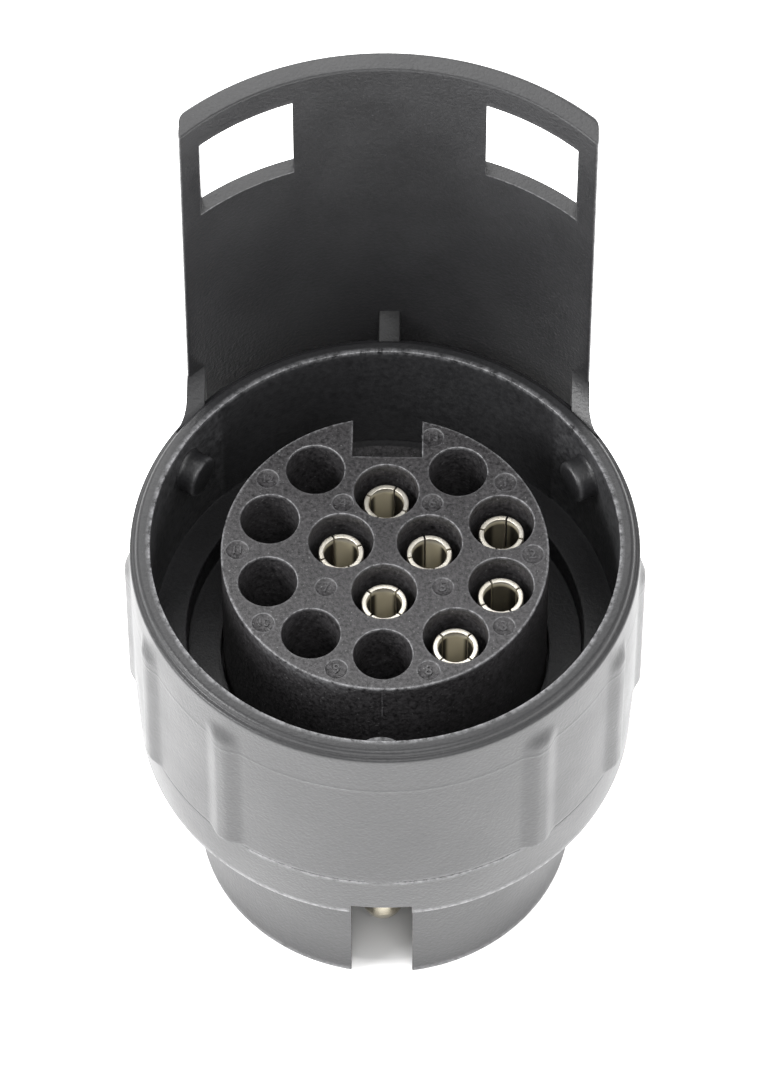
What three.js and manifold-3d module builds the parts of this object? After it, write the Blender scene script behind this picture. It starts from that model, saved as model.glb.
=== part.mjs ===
// Trailer wiring connector: a short adapter with a 13-pole socket on top and a 7-pole plug below.
// Millimetres, +Z up. The origin is the centre of the 13-pole contact face, on the connector's axis.
// The keyway of the plug faces -Y, the guard plate stands at +Y.
import * as THREE from "three";
import { mergeVertices } from "three/addons/utils/BufferGeometryUtils.js";
import Module from "manifold-3d";

const wasm = await Module();
wasm.setup();

// Socket end, heights measured up or down from the contact face.
const rimAboveFace = 1.8; // top of the collar
const guardAboveFace = 47; // top of the guard plate
const guardBelowFace = 15.2; // lower end of the guard plate
const ledgeDepth = 15.2; // outer ledge inside the collar
const floorDepth = 18.5; // floor beside the insert

// Socket end, radii and walls.
const insertRadius = 18;
const plugGap = 7.7; // room for the trailer plug's collar round the insert
const collarWall = 2.3;
const lipWall = 1.75; // the wall at the rim, a little thinner than below it
const lipRound = 0.65;
const lipDepth = 0.65; // height of the lip above the groove
const grooveDepth = 0.1;
const grooveHeight = 0.3;
const shelfWidth = 4; // floor shelf between the insert and the ledge ring
const shelfThickness = 2;
const insertClearance = 0.25; // radial play of what drops into the collar
const rearPadHeight = 0.15;
const rearPadHalfAngle = 46; // degrees either side of the rear
const rearPadDrop = 0.4; // below the rim

// Bayonet lugs and grip ribs; azimuths in degrees from the front, positive to the right.
const lugAzimuths = [0, 120, -120];
const lugRadius = 2.3;
const lugHeight = 2.3;
const lugDome = 1;
const lugDrop = 5; // below the rim
const ribAzimuths = [-90, -66, -38, 38, 66, 90];
const ribWidth = 4.6;
const ribShoulderWidth = 3.3; // across the rounded part of a rib's section
const ribCrestWidth = 1.85;
const ribHeight = 0.7;
const ribShoulderDrop = 0.2; // of the rounded part below the crest
const ribTopDrop = 4.2; // below the rim
const ribSlope = 1.8;

// Guard plate and its three webs.
const guardGap = 2.2; // between the collar and the plate
const guardWall = 1.8;
const guardHalfWidth = 22.3;
const beadHeight = 2.7; // rounded bead along the top edge
const beadWall = 2.7;
const beadRound = 1;
const beadInnerRound = 0.3;
const windowInset = 10.4; // from the middle of the plate to the window
const windowWidth = 9.8;
const windowDrop = 3.7; // below the top of the plate
const windowHeight = 12.2;
const webWidth = 2.4;
const sideWebWidth = 2;
const webRise = 1.7; // of the web's top above the rim, at the plate
const webRoot = 0.3; // from the collar's inside to the web's nearest corner

// Contact insert.
const contactEdge = 4.6; // from the insert's edge to the outer contact circle
const contactPitch = 36; // degrees between outer contacts
const innerContacts = { 5: [0, -5.2], 6: [4.85, 1.4], 7: [-4.85, 1.4], 4: [0, 8.05] };
// Outer contacts, in pitches from the front.
const outerContacts = { 8: 0, 9: -1, 10: -2, 11: -3, 12: -4, 13: 4, 1: 3, 2: 2, 3: 1 };
const fittedContacts = [1, 2, 3, 4, 5, 6, 7];
const fittedHoleRadius = 3.7;
const emptyHoleRadius = 3.275;
const holeDepth = 17;
const keyNotchHalfWidth = 3.85;
const keyNotchDepth = 5.25; // in from the insert's edge
const keyNotchHeight = 5.5;
const insertFlangeThickness = 1.4;
const contactRetainerThickness = 1.2;

// Socket contacts.
const contactRecess = 2.3; // of the tube's end below the face
const contactRadius = 2.5;
const contactWall = 0.5;
const contactBoreDepth = 13;
const contactFlangeWidth = 0.6; // past the tube
const contactFlangeThickness = 1.2;
const contactClearance = 0.1; // radial play of contacts and pins in their seats
const contactSlitWidth = 0.4;
const contactSlitDepth = 8;

// Solder cups and jumper wires.
const cupWall = 0.4;
const cupLength = 0.9; // past the retainer
const cupBoreDepth = 1.6;
const wireRadius = 0.7;
const wireCupGap = 0.15;
const wireLevelGap = 0.2;
const wireBend = 1.5;
const wireStepLength = 1.3;
const wireLevelOf = { 1: 0, 2: 0, 3: 0, 4: 1, 5: 2, 6: 2, 7: 0 }; // wires cross at three levels

// Plug end.
const spigotHeight = 0.5; // of the plug body into the collar's bore
const bandHeight = 7.4;
const bandTaper = 0.3;
const bandRound = 0.5;
const sleeveRadius = 21.3;
const sleeveLength = 23.4;
const sleeveWall = 2;
const sleeveRound = 0.5;
const keywayWidth = 6.9;
const keywayRise = 1.7; // up into the band's lower edge
const keywayBacking = 1; // wall left between the keyway and the wire chamber

// Pins and their carrier.
const pinEdge = 5.3; // from the sleeve's inner wall to the pin circle
const pinAzimuths = { 1: 120, 2: 60, 3: 0, 4: -60, 5: -120, 6: 180 }; // pin 7 is on the axis
const pinRadius = 2.5;
const pinTipRecess = 3; // of the pins' tips inside the sleeve
const pinTipRadius = 0.9;
const pinTipLength = 3.2; // of the taper
const pinSlitWidth = 0.6;
const pinSlitDepth = 7;
const pinFlangeWidth = 0.7; // past the pin
const pinFlangeThickness = 1.2;
const carrierThickness = 2.4;
const carrierBossHeight = 1.6;
const carrierBossMargin = 0.2; // round the pins' flanges
const carrierLip = 1.7;
const pinRetainerThickness = 1.2;
const carrierClearance = 0.2;

// Face seal and housing screws.
const sealRadius = 0.55;
const sealWall = 0.25; // between a screw's hole and the seal's groove
const sealGap = 0.05;
const screwRadius = 1.25;
const screwLength = 11.6;
const screwHeadWidth = 0.9; // past the shank
const screwHeadFlat = 1.3; // radius of the head's flat end
const screwHeadHeight = 1.6;
const screwRecessDepth = 2;
const screwInset = 2.4; // from the collar's bore to the screw circle
const screwHoleClearance = 0.2;
const screwPilotClearance = 0.05;
const screwAzimuths = [45, 135, -135, -45];
const driveWidth = 0.6;
const driveSpan = 2.4;
const driveDepth = 0.9;

// Levels and radii that follow from the sizes above.
const collarInner = insertRadius + plugGap;
const collarOuter = collarInner + collarWall;
const lipOuter = collarInner + lipWall;
const boreRadius = insertRadius + shelfWidth;
const shelfInner = insertRadius + insertClearance;
const flangeRadius = boreRadius - insertClearance;
const guardInner = collarOuter + guardGap;
const guardOuter = guardInner + guardWall;
const contactCircle = insertRadius - contactEdge;
const contactFlangeRadius = contactRadius + contactFlangeWidth;
const cupBoreRadius = wireRadius + wireCupGap;
const cupRadius = cupBoreRadius + cupWall;
const shelfBottomZ = -floorDepth - shelfThickness;
const insertBottomZ = shelfBottomZ - insertFlangeThickness;
const contactRetainerZ = insertBottomZ - contactRetainerThickness;
const seamZ = contactRetainerZ - spigotHeight;
const shoulderZ = seamZ - bandHeight;
const sleeveEndZ = shoulderZ - sleeveLength;
const sleeveInner = sleeveRadius - sleeveWall;
const contactCupZ = contactRetainerZ - cupLength;
const wireStep = 2 * wireRadius + wireLevelGap;
const wireLevels = [0, 1, 2].map((i) => contactCupZ - wireLevelGap - wireRadius - i * wireStep);
const pinCupZ = wireLevels[2] - wireRadius - wireLevelGap / 2;
const pinRetainerTopZ = pinCupZ - cupLength;
const carrierTopZ = pinRetainerTopZ - pinRetainerThickness;
const carrierSeatZ = carrierTopZ - carrierThickness;
const carrierFaceZ = carrierSeatZ - carrierBossHeight;
const pinFlangeRadius = pinRadius + pinFlangeWidth;
const pinCircle = sleeveInner - pinEdge;
const carrierBossRadius = pinCircle + pinFlangeRadius + carrierBossMargin;
const carrierRadius = carrierBossRadius + carrierLip;
const chamberRadius = carrierRadius + carrierClearance;
const pinTipZ = sleeveEndZ + pinTipRecess;
const screwHeadRadius = screwRadius + screwHeadWidth;
const screwHoleRadius = screwRadius + screwHoleClearance;
const screwCircle = boreRadius + screwInset;
const sealGrooveHalf = sealRadius + sealGap;
const sealCircle = screwCircle + screwHoleRadius + sealWall + sealGrooveHalf;
const screwHeadZ = shoulderZ + screwRecessDepth;

const past = 1; // how far a cutting shape runs past the face it cuts
const bodySides = 60;
const holeSides = 12;
const smallSides = 12;
const wireSides = 8;
const sealSides = 6;
const arcSteps = 2;

const finish = (color, roughness, metalness = 0) => ({ color, roughness, metalness });
const housingFinish = finish(0x2b2c2e, 0.55);
const insertFinish = finish(0x202123, 0.5);
const retainerFinish = finish(0x3a3b3d, 0.6);
const brassFinish = finish(0xd8c48e, 0.28, 1);
const steelFinish = finish(0x9a9c9f, 0.35, 1);
const rubberFinish = finish(0x161616, 0.85);
const wireColors = {
  1: 0xd8b21a, 2: 0x2450a0, 3: 0xe8e8e4, 4: 0x2c8a3c, 5: 0x6b4226, 6: 0xb3221e, 7: 0x1a1a1a,
};

// A closed mesh as a solid for joining and cutting, and back again.
function solid(geometry) {
  const bare = geometry.clone();
  bare.deleteAttribute("normal");
  bare.deleteAttribute("uv");
  const merged = mergeVertices(bare, 1e-4);
  return new wasm.Manifold(new wasm.Mesh({
    numProp: 3,
    vertProperties: new Float32Array(merged.attributes.position.array),
    triVerts: new Uint32Array(merged.index.array),
  }));
}

function toGeometry(body) {
  const { numProp, vertProperties, triVerts } = body.getMesh();
  const positions = [];
  for (let i = 0; i < vertProperties.length; i += numProp)
    positions.push(vertProperties[i], vertProperties[i + 1], vertProperties[i + 2]);
  const indexed = new THREE.BufferGeometry()
    .setAttribute("position", new THREE.Float32BufferAttribute(positions, 3))
    .setIndex(new THREE.BufferAttribute(triVerts, 1));
  const flat = indexed.toNonIndexed();
  flat.computeVertexNormals();
  return flat;
}

const join = (bodies) => bodies.reduce((whole, body) => whole.add(body));
const cut = (body, tools) => tools.reduce((left, tool) => left.subtract(tool), body);

// A point on a circle round the axis: azimuth 0 is the front (-Y), 90 the right (+X).
function onCircle(radius, azimuth) {
  const a = THREE.MathUtils.degToRad(azimuth);
  return [radius * Math.sin(a), -radius * Math.cos(a)];
}

// A closed outline of radius and height turned round the Z axis.
function turned(outline, sides, [x, y] = [0, 0]) {
  const closed = [...outline, outline[0]].map(([r, z]) => new THREE.Vector2(Math.max(r, 0), z));
  return solid(new THREE.LatheGeometry(closed, sides).rotateX(Math.PI / 2).translate(x, y, 0));
}

// The points of a quarter circle between two directions, for rounding an outline's corner.
function rounded(centreR, centreZ, radius, startDegrees, endDegrees) {
  const arc = new THREE.EllipseCurve(
    centreR, centreZ, radius, radius,
    THREE.MathUtils.degToRad(startDegrees), THREE.MathUtils.degToRad(endDegrees),
    endDegrees < startDegrees,
  );
  return arc.getPoints(arcSteps).map(({ x, y }) => [x, y]);
}

const rod = (radius, low, high, sides, at) =>
  turned([[0, low], [radius, low], [radius, high], [0, high]], sides, at);

const ring = (inner, outer, low, high, sides, at) =>
  turned([[inner, low], [outer, low], [outer, high], [inner, high]], sides, at);

// A block between two corners.
function block([x0, y0, z0], [x1, y1, z1]) {
  return solid(new THREE.BoxGeometry(x1 - x0, y1 - y0, z1 - z0)
    .translate((x0 + x1) / 2, (y0 + y1) / 2, (z0 + z1) / 2));
}

// A flat outline in plan, pulled up from low to high, turned to an azimuth.
function prism(points, low, high, azimuth = 0) {
  const shape = new THREE.Shape(points.map(([x, y]) => new THREE.Vector2(x, y)));
  const geometry = new THREE.ExtrudeGeometry(shape, { depth: high - low, bevelEnabled: false });
  return solid(geometry.translate(0, 0, low).rotateZ(THREE.MathUtils.degToRad(azimuth)));
}

const contactPlaces = { ...innerContacts };
for (const [number, pitches] of Object.entries(outerContacts))
  contactPlaces[number] = onCircle(contactCircle, pitches * contactPitch);

const pinPlaces = { 7: [0, 0] };
for (const [number, azimuth] of Object.entries(pinAzimuths))
  pinPlaces[number] = onCircle(pinCircle, azimuth);

// Collar wall, lip, ledge ring and shelf in one turned outline.
function collarRing() {
  const grooveTop = rimAboveFace - lipDepth;
  return turned([
    [boreRadius, seamZ],
    [collarOuter, seamZ],
    [collarOuter, grooveTop - grooveHeight],
    [lipOuter - grooveDepth, grooveTop - grooveHeight / 2],
    [lipOuter - grooveDepth, grooveTop - grooveHeight / 4],
    [lipOuter, grooveTop],
    ...rounded(lipOuter - lipRound, rimAboveFace - lipRound, lipRound, 0, 90),
    [collarInner, rimAboveFace],
    [collarInner, -ledgeDepth],
    [boreRadius, -ledgeDepth],
    [boreRadius, -floorDepth],
    [shelfInner, -floorDepth],
    [shelfInner, shelfBottomZ],
    [boreRadius, shelfBottomZ],
  ], bodySides);
}

// A grip rib: a low rounded bar up the wall, cut off along a slope under the lip.
function gripRib(azimuth) {
  const half = ribWidth / 2;
  const root = collarOuter - collarWall / 2;
  const crest = collarOuter + ribHeight;
  const section = [
    [-half, -root], [-half, -collarOuter], [-ribShoulderWidth / 2, -crest + ribShoulderDrop],
    [-ribCrestWidth / 2, -crest], [ribCrestWidth / 2, -crest],
    [ribShoulderWidth / 2, -crest + ribShoulderDrop],
    [half, -collarOuter], [half, -root],
  ];
  return prism(section, seamZ, rimAboveFace - ribTopDrop, azimuth);
}

// What the ribs' sloped upper ends are trimmed to.
function ribEnvelope() {
  const top = rimAboveFace - ribTopDrop;
  const crest = collarOuter + ribHeight;
  const core = collarInner + collarWall / 4;
  return turned([
    [core, seamZ], [crest, seamZ], [crest, top - ribSlope], [collarOuter - grooveDepth, top], [core, top],
  ], bodySides);
}

// A bayonet lug: a round stud that points at the axis, domed at its end.
function bayonetLug(azimuth) {
  const length = lugHeight + collarWall / 2;
  const tip = rounded(lugRadius - lugDome, length - lugDome, lugDome, 0, 90);
  const outline = [[0, 0], [lugRadius, 0], ...tip, [0, length]];
  const points = [...outline, outline[0]].map(([r, z]) => new THREE.Vector2(r, z));
  const geometry = new THREE.LatheGeometry(points, smallSides)
    .translate(0, -(collarInner + collarWall / 2), 0)
    .rotateZ(THREE.MathUtils.degToRad(azimuth))
    .translate(0, 0, rimAboveFace - lugDrop);
  return solid(geometry);
}

// The thicker rear sector of the collar's inner wall.
function rearPad() {
  const steps = 16;
  const points = [];
  const arc = (radius, from, to) => {
    for (let i = 0; i <= steps; i++)
      points.push(onCircle(radius, from + ((to - from) * i) / steps));
  };
  arc(collarInner - rearPadHeight, 180 - rearPadHalfAngle, 180 + rearPadHalfAngle);
  arc(collarInner + collarWall / 2, 180 + rearPadHalfAngle, 180 - rearPadHalfAngle);
  return prism(points, -ledgeDepth - shelfThickness / 2, rimAboveFace - rearPadDrop);
}

// The curved guard plate with its top bead and two windows.
function guardPlate() {
  const beadOuter = guardInner + beadWall;
  const beadTop = guardAboveFace;
  const beadLow = guardAboveFace - beadHeight;
  const shell = turned([
    [guardInner, -guardBelowFace],
    [guardOuter, -guardBelowFace],
    [guardOuter, beadLow - (beadWall - guardWall)],
    [beadOuter, beadLow],
    ...rounded(beadOuter - beadRound, beadTop - beadRound, beadRound, 0, 90),
    ...rounded(guardInner + beadInnerRound, beadTop - beadInnerRound, beadInnerRound, 90, 180),
  ], bodySides);
  const slab = block(
    [-guardHalfWidth, 0, -guardBelowFace - past],
    [guardHalfWidth, beadOuter + past, guardAboveFace + past],
  );
  const top = guardAboveFace - windowDrop;
  const windows = [-1, 1].map((side) => {
    const near = side * windowInset;
    const far = side * (windowInset + windowWidth);
    return block(
      [Math.min(near, far), 0, top - windowHeight],
      [Math.max(near, far), beadOuter + past, top],
    );
  });
  return cut(shell.intersect(slab), windows);
}

// A web between collar and plate: its top climbs from the rim to the plate.
function guardWeb(x, width) {
  const reach = (radius, inset) => Math.sqrt(radius ** 2 - inset ** 2);
  const nearX = Math.max(0, Math.abs(x) - width / 2);
  const start = reach(collarInner + webRoot, nearX);
  const end = reach(guardInner + guardWall / 2, Math.abs(x) + width / 2);
  const outline = new THREE.Shape([
    new THREE.Vector2(start, -guardBelowFace),
    new THREE.Vector2(end, -guardBelowFace),
    new THREE.Vector2(end, rimAboveFace + webRise),
    new THREE.Vector2(start, rimAboveFace - lipRound / 2),
  ]);
  const geometry = new THREE.ExtrudeGeometry(outline, { depth: width, bevelEnabled: false })
    .rotateY(Math.PI / 2).rotateX(Math.PI / 2)
    .translate(x - width / 2, 0, 0);
  return solid(geometry);
}

function screwTool(radius, low, high) {
  return screwAzimuths.map((azimuth) => rod(radius, low, high, smallSides, onCircle(screwCircle, azimuth)));
}

// Collar, ribs, lugs, webs and guard plate are one moulding.
function collarShell() {
  const sideWebX = guardHalfWidth - sideWebWidth / 2;
  const ribs = join(ribAzimuths.map(gripRib)).intersect(ribEnvelope());
  const whole = join([
    collarRing(), ribs, ...lugAzimuths.map(bayonetLug), rearPad(), guardPlate(),
    guardWeb(0, webWidth), guardWeb(sideWebX, sideWebWidth), guardWeb(-sideWebX, sideWebWidth),
  ]);
  const pilotTop = screwHeadZ + screwLength + past / 2;
  return cut(whole, screwTool(screwRadius + screwPilotClearance, seamZ - past, pilotTop));
}

// The 13-pole insert: blind holes for all poles, seats for the fitted contacts, key notch at the rear.
function socketInsert() {
  const body = turned([
    [0, insertBottomZ], [flangeRadius, insertBottomZ], [flangeRadius, shelfBottomZ],
    [insertRadius, shelfBottomZ], [insertRadius, 0], [0, 0],
  ], bodySides);
  const flangeSeatZ = insertBottomZ + contactFlangeThickness;
  const tools = [];
  for (const [number, place] of Object.entries(contactPlaces)) {
    const fitted = fittedContacts.includes(Number(number));
    tools.push(rod(fitted ? fittedHoleRadius : emptyHoleRadius, -holeDepth, past, holeSides, place));
    if (!fitted) continue;
    const seat = contactRadius + contactClearance;
    const flangeSeat = contactFlangeRadius + contactClearance;
    tools.push(rod(seat, insertBottomZ - past, -holeDepth + past, smallSides, place));
    tools.push(rod(flangeSeat, insertBottomZ - past, flangeSeatZ, smallSides, place));
  }
  tools.push(block(
    [-keyNotchHalfWidth, insertRadius - keyNotchDepth, -keyNotchHeight],
    [keyNotchHalfWidth, insertRadius + past, past],
  ));
  return cut(body, tools);
}

// A socket contact: slit tube, solid shank, flange and solder cup.
function socketContact(place) {
  const top = -contactRecess;
  const bore = contactRadius - contactWall;
  const flangeTop = insertBottomZ + contactFlangeThickness;
  const body = turned([
    [0, top - contactBoreDepth], [0, contactCupZ + cupBoreDepth],
    [cupBoreRadius, contactCupZ + cupBoreDepth], [cupBoreRadius, contactCupZ], [cupRadius, contactCupZ],
    [cupRadius, insertBottomZ], [contactFlangeRadius, insertBottomZ], [contactFlangeRadius, flangeTop],
    [contactRadius, flangeTop], [contactRadius, top], [bore, top], [bore, top - contactBoreDepth],
  ], smallSides, place);
  const [x, y] = place;
  const half = contactSlitWidth / 2;
  const reach = contactRadius + past;
  const low = top - contactSlitDepth;
  return cut(body, [
    block([x - half, y - reach, low], [x + half, y + reach, top + past]),
    block([x - reach, y - half, low], [x + reach, y + half, top + past]),
  ]);
}

// The disc that holds the contacts' flanges up in the insert.
function contactRetainer() {
  const disc = rod(flangeRadius, contactRetainerZ, insertBottomZ, bodySides);
  const holes = fittedContacts.map((number) =>
    rod(cupRadius + contactClearance, contactRetainerZ - past, insertBottomZ + past, smallSides,
      contactPlaces[number]));
  return cut(disc, holes);
}

// Band, shoulder and sleeve of the plug end, with the keyway and the seats for seal, carrier and screws.
function plugBody() {
  const bandLow = collarOuter - bandTaper;
  const lipInner = carrierBossRadius + carrierClearance;
  const body = turned([
    [chamberRadius, contactRetainerZ],
    [chamberRadius, carrierSeatZ],
    [lipInner, carrierSeatZ],
    [lipInner, carrierFaceZ],
    [sleeveInner, carrierFaceZ],
    [sleeveInner, sleeveEndZ],
    ...rounded(sleeveRadius - sleeveRound, sleeveEndZ + sleeveRound, sleeveRound, -90, 0),
    [sleeveRadius, shoulderZ],
    ...rounded(bandLow - bandRound, shoulderZ + bandRound, bandRound, -90, 0),
    [collarOuter, seamZ],
    [flangeRadius, seamZ],
    [flangeRadius, contactRetainerZ],
  ], bodySides);
  const half = keywayWidth / 2;
  const through = Math.sqrt(sleeveInner ** 2 - half ** 2) - carrierClearance;
  const backing = chamberRadius + keywayBacking;
  return cut(body, [
    block([-half, -collarOuter - past, sleeveEndZ - past], [half, -through, carrierFaceZ]),
    block([-half, -collarOuter - past, carrierFaceZ - past], [half, -backing, shoulderZ + keywayRise]),
    ring(sealCircle - sealGrooveHalf, sealCircle + sealGrooveHalf, seamZ - 2 * sealRadius, seamZ + past,
      bodySides),
    ...screwTool(screwHoleRadius, shoulderZ - past, seamZ + past),
    ...screwTool(screwHeadRadius + screwHoleClearance, shoulderZ - past, screwHeadZ),
  ]);
}

// The disc that carries the seven pins; its boss fills the floor of the plug.
function pinCarrier() {
  const body = turned([
    [0, carrierFaceZ], [carrierBossRadius, carrierFaceZ], [carrierBossRadius, carrierSeatZ],
    [carrierRadius, carrierSeatZ], [carrierRadius, carrierTopZ], [0, carrierTopZ],
  ], bodySides);
  const tools = Object.values(pinPlaces).flatMap((place) => [
    rod(pinRadius + contactClearance, carrierFaceZ - past, carrierTopZ + past, smallSides, place),
    rod(pinFlangeRadius + contactClearance, carrierTopZ - pinFlangeThickness, carrierTopZ + past,
      smallSides, place),
  ]);
  return cut(body, tools);
}

function pinRetainer() {
  const disc = rod(carrierRadius, carrierTopZ, pinRetainerTopZ, bodySides);
  const holes = Object.values(pinPlaces).map((place) =>
    rod(cupRadius + contactClearance, carrierTopZ - past, pinRetainerTopZ + past, smallSides, place));
  return cut(disc, holes);
}

// A plug pin: solder cup on top, flange, round pin with a slit tip.
function plugPin(place) {
  const flangeLow = carrierTopZ - pinFlangeThickness;
  const body = turned([
    [0, pinTipZ], [pinTipRadius, pinTipZ], [pinRadius, pinTipZ + pinTipLength], [pinRadius, flangeLow],
    [pinFlangeRadius, flangeLow], [pinFlangeRadius, carrierTopZ], [cupRadius, carrierTopZ], [cupRadius, pinCupZ],
    [cupBoreRadius, pinCupZ], [cupBoreRadius, pinCupZ - cupBoreDepth], [0, pinCupZ - cupBoreDepth],
  ], smallSides, place);
  const [x, y] = place;
  const half = pinSlitWidth / 2;
  const reach = pinRadius + past;
  return cut(body, [
    block([x - reach, y - half, pinTipZ - past], [x + reach, y + half, pinTipZ + pinSlitDepth]),
  ]);
}

// A jumper wire from a contact's cup down to the same pin's cup, across at its own level.
function jumperWire(number) {
  const [x0, y0] = contactPlaces[number];
  const [x1, y1] = pinPlaces[number];
  const level = wireLevels[wireLevelOf[number]];
  const start = new THREE.Vector3(x0, y0, contactCupZ + cupBoreDepth);
  const end = new THREE.Vector3(x1, y1, pinCupZ - cupBoreDepth);
  const first = new THREE.Vector3(x0, y0, level);
  const second = new THREE.Vector3(x1, y1, level);
  const span = second.clone().sub(first);
  const bend = Math.min(wireBend, span.length() / 2);
  const along = span.clone().setLength(bend);
  const rise = new THREE.Vector3(0, 0, Math.min(wireBend, contactCupZ - level));
  const fall = new THREE.Vector3(0, 0, Math.min(wireBend, level - pinCupZ));
  const path = new THREE.CurvePath();
  const straight = (from, to) => path.add(new THREE.LineCurve3(from, to));
  const corner = (from, at, to) => path.add(new THREE.QuadraticBezierCurve3(from, at, to));
  straight(start, first.clone().add(rise));
  corner(first.clone().add(rise), first, first.clone().add(along));
  if (span.length() > 2 * bend) straight(first.clone().add(along), second.clone().sub(along));
  corner(second.clone().sub(along), second, second.clone().sub(fall));
  straight(second.clone().sub(fall), end);
  return wireAlong(path);
}

// A round section carried along a path, closed at both ends.
function wireAlong(path) {
  const section = new THREE.Shape();
  section.absarc(0, 0, wireRadius, 0, 2 * Math.PI);
  const steps = Math.round(path.getLength() / wireStepLength);
  return solid(new THREE.ExtrudeGeometry(section, {
    steps, curveSegments: wireSides / 2, extrudePath: path, bevelEnabled: false,
  }));
}

// The rubber ring in the seam between plug body and collar.
function bodySeal() {
  const ringShape = new THREE.TorusGeometry(sealCircle, sealRadius, sealSides, bodySides);
  return solid(ringShape.translate(0, 0, seamZ - sealRadius));
}

// A housing screw: pan head with a cross drive below, shank upwards.
function housingScrew(azimuth) {
  const place = onCircle(screwCircle, azimuth);
  const headLow = screwHeadZ - screwHeadHeight;
  const body = turned([
    [0, headLow], [screwHeadFlat, headLow], [screwHeadRadius, headLow + screwHeadHeight / 2],
    [screwHeadRadius, screwHeadZ], [screwRadius, screwHeadZ],
    [screwRadius, screwHeadZ + screwLength - screwRadius], [0, screwHeadZ + screwLength],
  ], smallSides, place);
  const [x, y] = place;
  const half = driveWidth / 2;
  const arm = driveSpan / 2;
  const high = headLow + driveDepth;
  return cut(body, [
    block([x - half, y - arm, headLow - past], [x + half, y + arm, high]),
    block([x - arm, y - half, headLow - past], [x + arm, y + half, high]),
  ]);
}

const connector = new THREE.Group();

function addPart(name, body, surface) {
  const mesh = new THREE.Mesh(toGeometry(body), new THREE.MeshStandardMaterial(surface));
  mesh.name = name;
  connector.add(mesh);
}

addPart("collar_shell", collarShell(), housingFinish);
addPart("plug_body", plugBody(), housingFinish);
addPart("socket_insert", socketInsert(), insertFinish);
addPart("contact_retainer", contactRetainer(), retainerFinish);
addPart("pin_carrier", pinCarrier(), insertFinish);
addPart("pin_retainer", pinRetainer(), retainerFinish);
addPart("body_seal", bodySeal(), rubberFinish);
for (const number of fittedContacts) {
  addPart("socket_contact_" + number, socketContact(contactPlaces[number]), brassFinish);
  addPart("plug_pin_" + number, plugPin(pinPlaces[number]), brassFinish);
  addPart("jumper_wire_" + number, jumperWire(number), finish(wireColors[number], 0.5));
}
screwAzimuths.forEach((azimuth, i) => {
  addPart("housing_screw_" + (i + 1), housingScrew(azimuth), steelFinish);
});

export default connector;
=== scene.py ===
import math
import bpy
import numpy as np
from mathutils import Matrix, Vector
from mathutils.geometry import delaunay_2d_cdt


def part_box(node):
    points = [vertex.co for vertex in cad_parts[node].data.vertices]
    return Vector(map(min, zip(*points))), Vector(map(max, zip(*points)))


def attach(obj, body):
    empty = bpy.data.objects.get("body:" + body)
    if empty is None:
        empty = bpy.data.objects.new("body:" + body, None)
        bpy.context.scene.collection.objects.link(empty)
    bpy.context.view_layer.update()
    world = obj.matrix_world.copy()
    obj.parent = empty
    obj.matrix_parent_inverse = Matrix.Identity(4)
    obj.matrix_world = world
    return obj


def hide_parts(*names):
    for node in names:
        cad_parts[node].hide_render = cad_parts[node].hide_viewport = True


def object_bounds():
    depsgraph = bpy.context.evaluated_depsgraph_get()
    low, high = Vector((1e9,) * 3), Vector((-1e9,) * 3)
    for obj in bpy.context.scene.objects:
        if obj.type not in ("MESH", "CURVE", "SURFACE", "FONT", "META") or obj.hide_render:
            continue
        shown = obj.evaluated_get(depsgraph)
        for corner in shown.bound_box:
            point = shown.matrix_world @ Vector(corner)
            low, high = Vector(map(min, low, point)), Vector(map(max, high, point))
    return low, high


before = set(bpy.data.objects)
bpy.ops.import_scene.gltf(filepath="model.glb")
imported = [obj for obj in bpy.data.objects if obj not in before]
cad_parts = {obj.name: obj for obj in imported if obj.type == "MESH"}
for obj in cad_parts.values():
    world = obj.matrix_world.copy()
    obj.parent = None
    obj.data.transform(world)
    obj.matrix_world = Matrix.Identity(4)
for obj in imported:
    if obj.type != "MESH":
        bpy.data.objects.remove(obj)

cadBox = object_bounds()
mm = 0.001
print("frame loaded:", len(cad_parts), "nodes")


# small tools for surfaces, all in millimetres

def nodeBox(name):
    # lowest and highest corner of a CAD node, in mm
    low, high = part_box(name)
    return np.array(low) / mm, np.array(high) / mm


def smoothStep(x):
    # 0 below 0, 1 above 1, and 3x^2 - 2x^3 between
    x = np.clip(x, 0, 1)
    return x * x * (3 - 2 * x)


def quads(rows, columns, wrapRows=False, wrapColumns=False):
    # faces between neighbouring points of a rows x columns grid
    i = np.arange(rows if wrapRows else rows - 1)
    j = np.arange(columns if wrapColumns else columns - 1)
    a, b = np.meshgrid(i, j, indexing="ij")
    c, d = (a + 1) % rows, (b + 1) % columns
    return np.stack([a * columns + b, c * columns + b, c * columns + d, a * columns + d], -1).reshape(-1, 4)


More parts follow.
